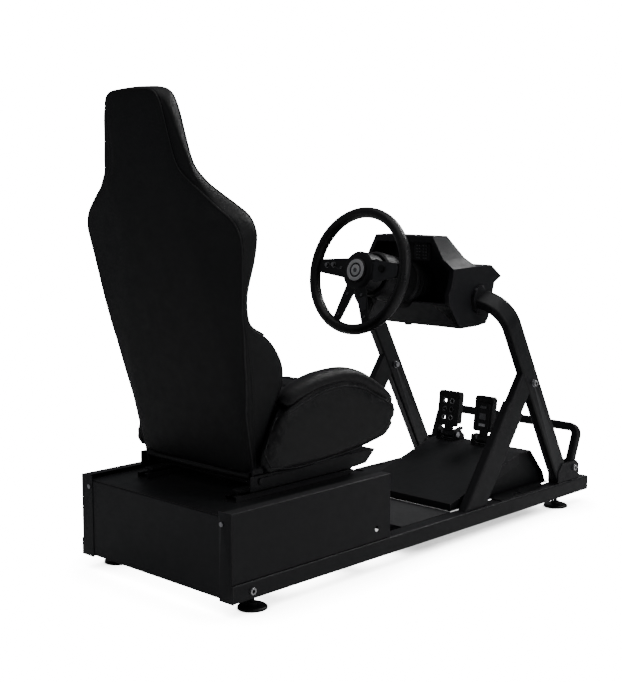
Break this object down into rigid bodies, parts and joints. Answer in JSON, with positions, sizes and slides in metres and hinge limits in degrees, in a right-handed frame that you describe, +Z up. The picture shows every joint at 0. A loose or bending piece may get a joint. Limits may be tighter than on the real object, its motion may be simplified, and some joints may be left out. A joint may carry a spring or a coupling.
{
  "type": "sitdown racing cabinet",
  "caption": "Sit-down racing cockpit: bucket seat on a sheet-metal box, rails on levelling feet, tube stand with steering unit, tray with pedals.",
  "frame": {"origin": "centre of the bounding box on the floor", "axes": "+X to the driver's right, +Y forward towards the pedals, +Z up"},
  "size_m": [0.588, 1.55, 1.2167],
  "materials": {
    "frame_black": "satin",
    "sheet_black": "satin",
    "casing_black": "satin",
    "vinyl_black": "satin",
    "shell_black": "satin",
    "plastic_black": "matte",
    "panel_grey": "matte",
    "rim_leather": "satin",
    "spoke_black": "satin",
    "zinc_steel": "satin",
    "pedal_metal": "satin",
    "cast_aluminium": "satin",
    "belt_rubber": "matte",
    "board_green": "matte"
  },
  "bodies": {
    "base_frame": {"accelerator_spring": "zinc_steel", "brace_left": "frame_black", "brace_right": "frame_black", "brake_spring": "zinc_steel", "cross_members": "frame_black", "foot_brackets": "frame_black", "foot_plate": "sheet_black", "frame_bolts": "zinc_steel", "front_bar": "frame_black", "front_deck": "sheet_black", "hoop_stand": "frame_black", "panel_screws": "zinc_steel", "pedal_base": "sheet_black", "pedal_pivots": "zinc_steel", "pedal_tray": "sheet_black", "rail_end_caps": "plastic_black", "rail_left": "frame_black", "rail_right": "frame_black", "rear_panel": "sheet_black", "seat_deck": "sheet_black", "side_panel_left": "sheet_black", "side_panel_right": "sheet_black", "slider_channels": "frame_black", "tilt_journals": "frame_black"},
    "seat_carriage": {"slider_runners": "frame_black", "seat_pan": "sheet_black", "seat_cushion": "vinyl_black", "cushion_bolster_right": "vinyl_black", "cushion_bolster_left": "vinyl_black"},
    "backrest": {"backrest_shell": "shell_black", "backrest_pad": "vinyl_black", "backrest_wing_right": "vinyl_black", "backrest_wing_left": "vinyl_black", "recliner_arms": "frame_black"},
    "recline_handle": {"recline_lever": "plastic_black"},
    "slide_release": {"slide_release_bar": "frame_black"},
    "steering_unit": {"housing_shell": "casing_black", "fascia": "sheet_black", "control_panel": "panel_grey", "column_shroud": "plastic_black", "column_cradle": "cast_aluminium", "shaft_bearings": "zinc_steel", "drive_motor": "cast_aluminium", "drive_belt": "belt_rubber", "control_board": "board_green"},
    "tilt_handle": {"tilt_lever": "plastic_black"},
    "steering_wheel": {"wheel_rim": "rim_leather", "wheel_spokes": "spoke_black", "steering_shaft": "zinc_steel"},
    "motor_shaft": {"motor_pulley": "cast_aluminium"},
    "horn": {"horn_button": "plastic_black"},
    "button_upper": {"wheel_button_upper": "plastic_black"},
    "button_outer": {"wheel_button_outer": "plastic_black"},
    "button_right": {"wheel_button_right": "plastic_black"},
    "brake": {"brake_pedal": "pedal_metal"},
    "accelerator": {"accelerator_pedal": "pedal_metal"},
    "foot_rear_right": {"levelling_foot_rear_right": "plastic_black"},
    "foot_rear_left": {"levelling_foot_rear_left": "plastic_black"},
    "foot_front_right": {"levelling_foot_front_right": "plastic_black"},
    "foot_front_left": {"levelling_foot_front_left": "plastic_black"}
  },
  "joints": [
    {"name": "foot_rear_right_screw", "type": "slide", "parent": "base_frame", "child": "foot_rear_right", "axis": [0, 0, 1], "range_m": [-0.015, 0]},
    {"name": "foot_rear_left_screw", "type": "slide", "parent": "base_frame", "child": "foot_rear_left", "axis": [0, 0, 1], "range_m": [-0.015, 0]},
    {"name": "foot_front_right_screw", "type": "slide", "parent": "base_frame", "child": "foot_front_right", "axis": [0, 0, 1], "range_m": [-0.015, 0]},
    {"name": "foot_front_left_screw", "type": "slide", "parent": "base_frame", "child": "foot_front_left", "axis": [0, 0, 1], "range_m": [-0.015, 0]},
    {"name": "seat_slide", "type": "slide", "parent": "base_frame", "child": "seat_carriage", "axis": [0, 1, 0], "range_m": [-0.06, 0.1]},
    {"name": "backrest_recline", "type": "hinge", "parent": "seat_carriage", "child": "backrest", "pos_m": [0, -0.56, 0.284], "axis": [1, 0, 0], "range_deg": [0, 30]},
    {"name": "recline_handle_lift", "type": "hinge", "parent": "seat_carriage", "child": "recline_handle", "pos_m": [-0.223, -0.52, 0.281], "axis": [-1, 0, 0], "range_deg": [0, 12], "stiffness_Nm_per_rad": 4, "springref_deg": -8.59},
    {"name": "slide_release_lift", "type": "hinge", "parent": "seat_carriage", "child": "slide_release", "pos_m": [0, -0.27, 0.249], "axis": [1, 0, 0], "range_deg": [0, 3], "stiffness_Nm_per_rad": 20, "springref_deg": -3.44},
    {"name": "column_tilt", "type": "hinge", "parent": "base_frame", "child": "steering_unit", "pos_m": [0, 0.344, 0.655], "axis": [1, 0, 0], "range_deg": [-8, 10]},
    {"name": "tilt_handle_swing", "type": "hinge", "parent": "steering_unit", "child": "tilt_handle", "pos_m": [0, 0.07723, 0.65628], "axis": [-1, 0, 0], "range_deg": [0, 25]},
    {"name": "wheel_steer", "type": "hinge", "parent": "steering_unit", "child": "steering_wheel", "pos_m": [0, 0.022, 0.746], "axis": [0, 0.9744, -0.225], "range_deg": [-135, 135]},
    {"name": "motor_turn", "type": "hinge", "parent": "steering_unit", "child": "motor_shaft", "pos_m": [0.042, 0.022, 0.746], "axis": [0, 0.9744, -0.225], "range_deg": [-380, 380]},
    {"name": "horn_press", "type": "slide", "parent": "steering_wheel", "child": "horn", "axis": [0, 0.9744, -0.225], "range_m": [0, 0.0025], "stiffness_N_per_m": 900, "springref_m": -0.002},
    {"name": "button_upper_press", "type": "slide", "parent": "steering_wheel", "child": "button_upper", "axis": [0, 0.9744, -0.225], "range_m": [0, 0.002], "stiffness_N_per_m": 500, "springref_m": -0.002},
    {"name": "button_outer_press", "type": "slide", "parent": "steering_wheel", "child": "button_outer", "axis": [0, 0.9744, -0.225], "range_m": [0, 0.002], "stiffness_N_per_m": 500, "springref_m": -0.002},
    {"name": "button_right_press", "type": "slide", "parent": "steering_wheel", "child": "button_right", "axis": [0, 0.9744, -0.225], "range_m": [0, 0.002], "stiffness_N_per_m": 500, "springref_m": -0.002},
    {"name": "brake_press", "type": "hinge", "parent": "base_frame", "child": "brake", "pos_m": [-0.042, 0.492, 0.208], "axis": [-1, 0, 0], "range_deg": [0, 14], "stiffness_Nm_per_rad": 60, "springref_deg": -6.88, "deforming": ["brake_spring"]},
    {"name": "accelerator_press", "type": "hinge", "parent": "base_frame", "child": "accelerator", "pos_m": [0.092, 0.492, 0.208], "axis": [-1, 0, 0], "range_deg": [0, 14], "stiffness_Nm_per_rad": 25, "springref_deg": -6.88, "deforming": ["accelerator_spring"]}
  ],
  "couplings": [
    {"joint": "motor_turn", "follows": "wheel_steer", "ratio": 2.8}
  ]
}
